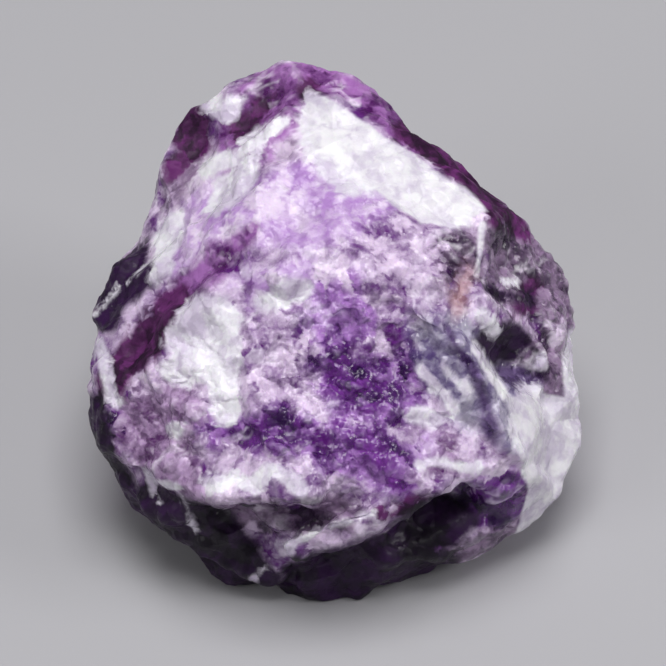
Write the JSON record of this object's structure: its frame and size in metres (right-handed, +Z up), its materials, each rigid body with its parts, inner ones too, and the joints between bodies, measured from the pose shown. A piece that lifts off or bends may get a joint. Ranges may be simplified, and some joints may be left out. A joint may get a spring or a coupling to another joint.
{
  "type": "rough amethyst",
  "caption": "One rough broken lump of amethyst, purple crystalline quartz with frosted white patches, that lies on its own level base as a loose mineral piece.",
  "frame": {"origin": "under the middle of the lump's box seen from above, in the plane of the level base it lies on", "axes": "+Z up out of the base; the broad broken face looks towards -Y and upwards at 45 degrees; +X is to the right of someone who looks at that face"},
  "size_m": [0.0346, 0.034, 0.0249],
  "materials": {
    "amethyst": "broken quartz: glassy facets, granular purple crystal and frosted white patches"
  },
  "bodies": {
    "root": {"amethyst_stone": "amethyst"}
  },
  "joints": []
}
